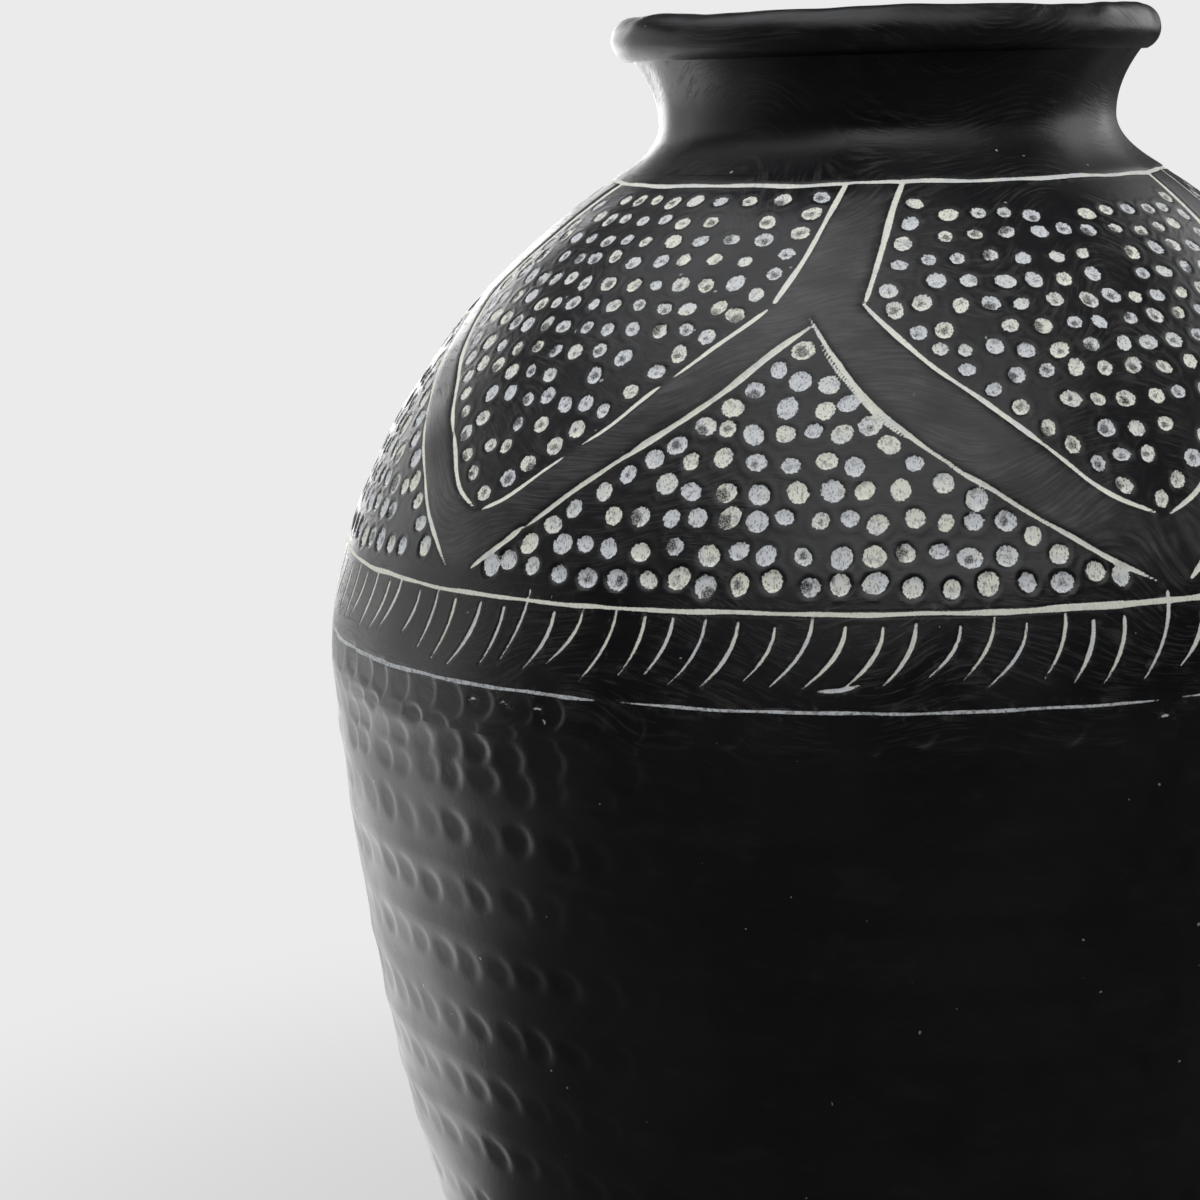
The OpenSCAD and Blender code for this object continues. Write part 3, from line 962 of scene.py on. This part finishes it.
def make_rim(material):
    """The rolled rim, a round coil pressed flat where it sits on the neck."""
    out, up = outward(LIP_Z)
    outer = np.array([outside_r(LIP_Z), LIP_Z])
    seat = outer - 0.5 * WALL * np.array([out, up])
    away = np.array([-up, out])
    half = math.sqrt(RIM_COIL_R ** 2 - RIM_RISE ** 2)
    start = math.atan2(-RIM_RISE, half)
    middle = seat + away * RIM_RISE
    arc = [middle + RIM_COIL_R * (np.array([out, up]) * math.cos(a) + away * math.sin(a))
           for a in np.linspace(start, math.pi - start, 44)]
    flat = resampled([arc[-1], arc[0]], 1.5)[1:-1]
    section = [tuple(p) for p in np.concatenate([arc, flat])]
    piece = spin_section("rim_coil_clay", section, 520)
    mesh = piece.data
    co = coordinates(mesh)
    across = across_of(mesh)
    r = np.hypot(co[:, 0], co[:, 1])
    turn = turn_of(co)
    arc_end = run_of(section)[len(arc) - 1]
    swell = np.sin(np.clip(across / arc_end, 0, 1) * math.pi) ** 2
    lift = swell * 0.28 * waves(turn, across, 12, (3, 14), (30, 60))
    lift += swell * 0.10 * waves(turn, across, 13, (14, 40), (9, 20))
    way = np.stack([r - middle[0], co[:, 2] - middle[1]], 1)
    way /= np.maximum(np.hypot(*way.T), 1e-6)[:, None]
    co[:, :2] *= (1 + lift * way[:, 0] / r)[:, None]
    co[:, 2] += lift * way[:, 1]
    place(mesh, co)
    smooth(piece)
    return hand_over(piece, material, "rim_coil")


LINE_REACH, LINE_FILL_DEPTH, LINE_FILL_MIDDLE = 1.25, 0.55, 0.62


def make_line(name, node, z, material):
    """The pale clay in one line cut round the belly, flush with the ring that it's rubbed into."""
    offsets = [-LINE_REACH, -0.95, -0.7, -0.45, -0.22, 0.0, 0.22, 0.45, 0.7, 0.95, LINE_REACH]
    depths = [LINE_FILL_DEPTH, LINE_FILL_MIDDLE, LINE_FILL_DEPTH]
    top = [(float(outside_r(z + o)), z + o) for o in offsets]
    out, up = (float(v) for v in outward(z))
    under = [(top[k][0] - deep * out, top[k][1] - deep * up) for k, deep in zip((8, 5, 2), depths)]
    piece = spin_section(name, top + under, 1750)
    mesh = piece.data
    co, across = coordinates(mesh), across_of(mesh)
    turn = turn_of(co)
    run = run_of(top + under)
    offset = np.interp(across, run, offsets + [offsets[8], 0.0, offsets[2], offsets[0]])
    depth = np.interp(across, run, [0.0] * len(offsets) + depths + [0.0])
    at = z + offset + line_sway(turn, z)
    skin = Skin(turn, at)
    skin.punch()
    skin.cut(lines)
    skin.press()
    skin.bulge()
    lift = skin.result()[0]
    skin.cut(band_lines)
    marks = skin.result()[1:]
    lift += 0.03 - 0.5 * smoothstep(np.abs(offset), 0.9, LINE_REACH) - depth
    out, up = outward(at)
    r = outside_r(at) + lift * out
    co = np.stack([-r * np.sin(np.radians(turn)), -r * np.cos(np.radians(turn)), at + lift * up], 1)
    place(mesh, co)
    write_marks(mesh, np.ones(len(co), bool), marks)
    smooth(piece, 50)
    return hand_over(piece, material, node, slot="pale_clay")


marked = clay_material("marked_black_clay")
plain = clay_material("plain_black_clay", chalk=False)
rubbed = clay_material("rubbed_in_pale_clay")

make_base(marked)
for n in range(1, WALL_RINGS + 1):
    make_ring(f"wall_ring_{n}_clay", f"wall_ring_{n}", JOINTS[n - 1], JOINTS[n], PLAIN_PITCH, marked)
belly, band = JOINTS[WALL_RINGS:WALL_RINGS + 2]
make_ring("belly_ring_clay", "belly_ring", belly, band, MARKED_PITCH, marked)
make_ring("band_ring_clay", "band_ring", band, JOINTS[WALL_RINGS + 2], BAND_PITCH, marked)
for n in range(1, SHOULDER_RINGS + 1):
    low, high = JOINTS[WALL_RINGS + 1 + n], JOINTS[WALL_RINGS + 2 + n]
    make_ring(f"shoulder_ring_{n}_clay", f"shoulder_ring_{n}", low, high, MARKED_PITCH, marked)
make_neck(marked)
make_rim(plain)
make_line("lower_line_chalk", "lower_line_fill", LOWER_LINE_Z, rubbed)
make_line("upper_line_chalk", "upper_line_fill", UPPER_LINE_Z, rubbed)


# ---------------------------------------------------------------- stage, light and camera

def turned(direction, roll):
    """Axes of something that looks along a direction and is rolled about it, in radians."""
    ahead = Vector(direction).normalized()
    right = ahead.cross(Vector((0, 0, 1))).normalized()
    up = right.cross(ahead)
    c, s = math.cos(roll), math.sin(roll)
    return c * right + s * up, c * up - s * right, -ahead


def stand(thing, spot, direction, roll=0.0):
    axes = turned(direction, roll)
    thing.matrix_world = Matrix.Translation(spot) @ Matrix(axes).transposed().to_4x4()


def soft_box(name, spot, aim, size, watts, tint=(1, 1, 1)):
    light = bpy.data.lights.new(name, "AREA")
    light.shape, light.size, light.size_y = "RECTANGLE", size[0], size[1]
    light.energy, light.color = watts, tint
    box_ = shown(name, light)
    stand(box_, Vector(spot), Vector(aim) - Vector(spot))
    box_.visible_camera = False


PAPER, FLOOR_GREY, ROOM_DARK = (0.83, 0.83, 0.83, 1), (0.14, 0.14, 0.14, 1), (0.03, 0.03, 0.032, 1)


def make_floor():
    bm = bmesh.new()
    bmesh.ops.create_grid(bm, x_segments=2, y_segments=2, size=12.0)
    floor_ = piece_of("floor", bm)
    material = bpy.data.materials.new("pale_floor")
    material.use_nodes = True
    tree = material.node_tree
    shader, out = tree.nodes["Principled BSDF"], tree.nodes["Material Output"]
    plug(tree, shader, {"Base Color": FLOOR_GREY, "Roughness": 0.9, "Specular IOR Level": 0.1})
    # Away from the jar the floor turns to the pale tone of the room, as a long sweep of paper does
    spot = add(tree, "ShaderNodeTexCoord").outputs["Object"]
    away = add(tree, "ShaderNodeVectorMath", {0: spot}, operation="LENGTH").outputs["Value"]
    seen = add(tree, "ShaderNodeLightPath").outputs["Is Camera Ray"]
    share = times(tree, between(tree, away, 0.12, 0.4, 0.75, 1.0), seen)
    glow = add(tree, "ShaderNodeEmission", {"Color": PAPER}).outputs[0]
    mix = add(tree, "ShaderNodeMixShader", {0: share, 1: shader.outputs[0], 2: glow})
    plug(tree, out, {"Surface": mix.outputs[0]})
    floor_.data.materials.append(material)


def light_the_room():
    world = bpy.data.worlds.new("studio")
    bpy.context.scene.world = world
    world.use_nodes = True
    tree = world.node_tree
    seen = add(tree, "ShaderNodeLightPath").outputs["Is Camera Ray"]
    plug(tree, tree.nodes["Background"], {"Color": mixed(tree, seen, ROOM_DARK, PAPER)})


make_floor()
light_the_room()
soft_box("back_window", (-0.42, 1.25, 0.24), (0, 0, 0.12), (0.75, 0.75), 9)
soft_box("left_window", (-1.15, 0.75, 0.40), (0, 0, 0.12), (2.3, 0.8), 7)
soft_box("bounce_board", (-0.62, 0.42, 0.01), (-0.619, 0.42, 1.0), (0.9, 1.0), 5.5)
soft_box("right_window", (1.35, 0.75, 0.75), (0, 0, 0.12), (1.8, 1.2), 15)
soft_box("top_box", (-0.5, 0.1, 1.6), (0, 0, 0.25), (1.3, 1.3), 11, (0.97, 0.98, 1.0))
soft_box("front_box", (0.1, -1.3, 2.1), (0, 0, 0.2), (2.4, 2.0), 38, (0.98, 0.985, 1.0))

camera = bpy.data.cameras.new("camera")
camera.lens, camera.sensor_width = 90, 36
viewer = shown("camera", camera)
CAMERA_YAW, CAMERA_PITCH, CAMERA_ROLL = -0.0977751, 0.1733131, -0.0273065
stand(viewer, Vector((0, -0.74572, 0.31537)),
      (math.sin(CAMERA_YAW) * math.cos(CAMERA_PITCH), math.cos(CAMERA_YAW) * math.cos(CAMERA_PITCH),
       -math.sin(CAMERA_PITCH)), CAMERA_ROLL)
bpy.context.scene.camera = viewer
bpy.context.scene.view_settings.view_transform = "Standard"
